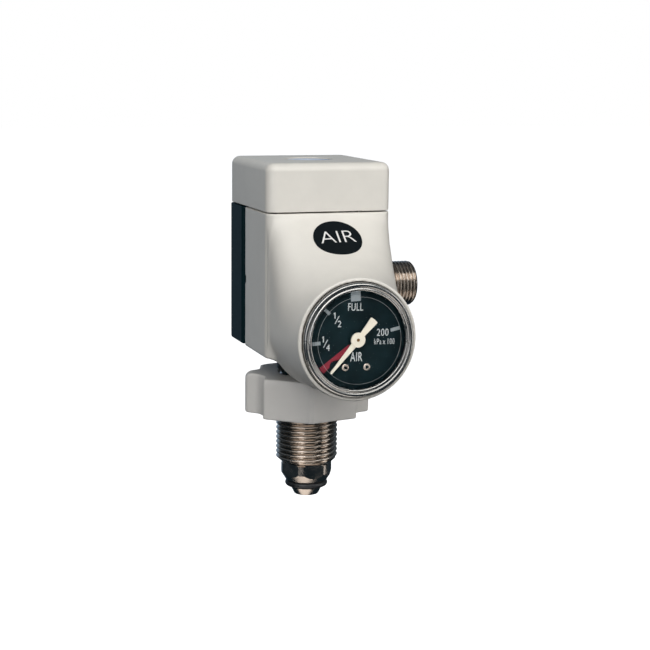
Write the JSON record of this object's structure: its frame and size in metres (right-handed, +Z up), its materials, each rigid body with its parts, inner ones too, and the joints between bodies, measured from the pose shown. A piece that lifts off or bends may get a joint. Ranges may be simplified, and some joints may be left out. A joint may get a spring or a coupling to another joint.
{
  "type": "air pressure regulator",
  "caption": "Gas-cylinder air pressure regulator: bullnose inlet with handwheel, hooded contents gauge, threaded side outlet and an enclosed preset piston regulator.",
  "frame": {"origin": "centre of the bullnose inlet's end face, on the axis of the inlet stem", "axes": "+Z up the inlet stem towards the top cap, +X out of the outlet, -Y out of the gauge face"},
  "size_m": [0.0636, 0.0827, 0.1253],
  "materials": {
    "off_white_plastic": "moulded ABS with a fine satin texture",
    "dark_teal_plastic": "moulded plastic, fine texture",
    "nickel": "nickel plate on brass, polished",
    "brass": "machined, not plated",
    "steel": "plain machined or drawn steel",
    "chrome": "bright polished ring",
    "black_rubber": "nitrile",
    "white_plastic": "PTFE, plain",
    "label_black": "printed film",
    "dial_black": "matt printed disc",
    "ivory": "painted pointer",
    "clear_plastic": "clear acrylic window",
    "sintered_bronze": "porous sintered bronze"
  },
  "bodies": {
    "housing": {"top_cap": "off_white_plastic", "front_cover": "off_white_plastic", "rear_cover": "dark_teal_plastic", "cover_screw_lower": "steel", "cover_screw_upper": "steel", "air_label": "label_black", "regulator_body": "brass", "bonnet": "nickel", "bullnose_stem": "nickel", "nose_o_ring": "black_rubber", "inlet_filter": "sintered_bronze", "thrust_washer": "dark_teal_plastic", "valve_seat": "white_plastic", "poppet_spring": "steel", "piston_stop": "brass", "main_spring": "steel", "relief_valve_body": "brass", "relief_valve_cap": "brass", "relief_spring": "steel", "outlet_fitting": "nickel", "outlet_seal_ring": "black_rubber", "gauge_case": "steel", "gauge_bezel": "chrome", "gauge_lens": "clear_plastic", "lens_gasket": "black_rubber", "gauge_socket": "brass", "bourdon_tube": "brass", "movement_back_plate": "brass", "movement_front_plate": "brass", "movement_post_1": "brass", "movement_post_2": "brass", "movement_post_3": "brass", "gauge_dial": "dial_black", "dial_screw_left": "nickel", "dial_screw_right": "nickel"},
    "handwheel_group": {"handwheel": "off_white_plastic", "gland_nut": "nickel"},
    "piston_group": {"piston": "brass", "piston_o_ring": "black_rubber"},
    "valve_poppet_body": {"valve_poppet": "steel"},
    "spring_button_body": {"spring_button": "steel"},
    "adjusting_screw_body": {"adjusting_screw": "steel"},
    "relief_poppet_body": {"relief_poppet": "brass"},
    "pointer_group": {"pointer": "ivory", "pinion_spindle": "steel", "hairspring": "steel"},
    "sector_gear_body": {"sector_gear": "brass"},
    "link_rod_body": {"link_rod": "brass"}
  },
  "joints": [
    {"name": "handwheel_turn", "type": "hinge", "parent": "housing", "child": "handwheel_group", "pos_m": [0, 0, 0.039], "axis": [0, 0, 1], "continuous": true},
    {"name": "piston_lift", "type": "slide", "parent": "housing", "child": "piston_group", "axis": [0, 0, 1], "range_m": [0, 0.0008], "stiffness_N_per_m": 2000, "deforming": ["main_spring", "poppet_spring"]},
    {"name": "valve_poppet_lift", "type": "slide", "parent": "housing", "child": "valve_poppet_body", "axis": [0, 0, 1], "range_m": [0, 0.0008]},
    {"name": "adjusting_screw_turn", "type": "hinge", "parent": "housing", "child": "adjusting_screw_body", "pos_m": [0, 0, 0.108], "axis": [0, 0, -1], "range_deg": [-360, 720]},
    {"name": "spring_button_slide", "type": "slide", "parent": "housing", "child": "spring_button_body", "axis": [0, 0, -1], "range_m": [-0.001, 0.002], "deforming": ["main_spring"]},
    {"name": "relief_poppet_lift", "type": "slide", "parent": "housing", "child": "relief_poppet_body", "axis": [0, 0, 1], "range_m": [0, 0.001], "stiffness_N_per_m": 500, "deforming": ["relief_spring"]},
    {"name": "sector_gear_turn", "type": "hinge", "parent": "housing", "child": "sector_gear_body", "pos_m": [0, -0.0468, 0.0583], "axis": [0, -1, 0], "range_deg": [0, 48.64], "stiffness_Nm_per_rad": 0.01},
    {"name": "pointer_turn", "type": "hinge", "parent": "housing", "child": "pointer_group", "pos_m": [0, -0.054, 0.0678], "axis": [0, 1, 0], "range_deg": [0, 270]},
    {"name": "link_rod_turn", "type": "hinge", "parent": "sector_gear_body", "child": "link_rod_body", "pos_m": [-0.00148, -0.0455, 0.05502], "axis": [0, -1, 0], "range_deg": [-48.64, 0]}
  ],
  "couplings": [
    {"joint": "valve_poppet_lift", "follows": "piston_lift", "ratio": 1},
    {"joint": "adjusting_screw_turn", "follows": "spring_button_slide", "rad_per_m": 6283.2},
    {"joint": "pointer_turn", "follows": "sector_gear_turn", "ratio": 5.5507},
    {"joint": "link_rod_turn", "follows": "sector_gear_turn", "ratio": -1}
  ]
}
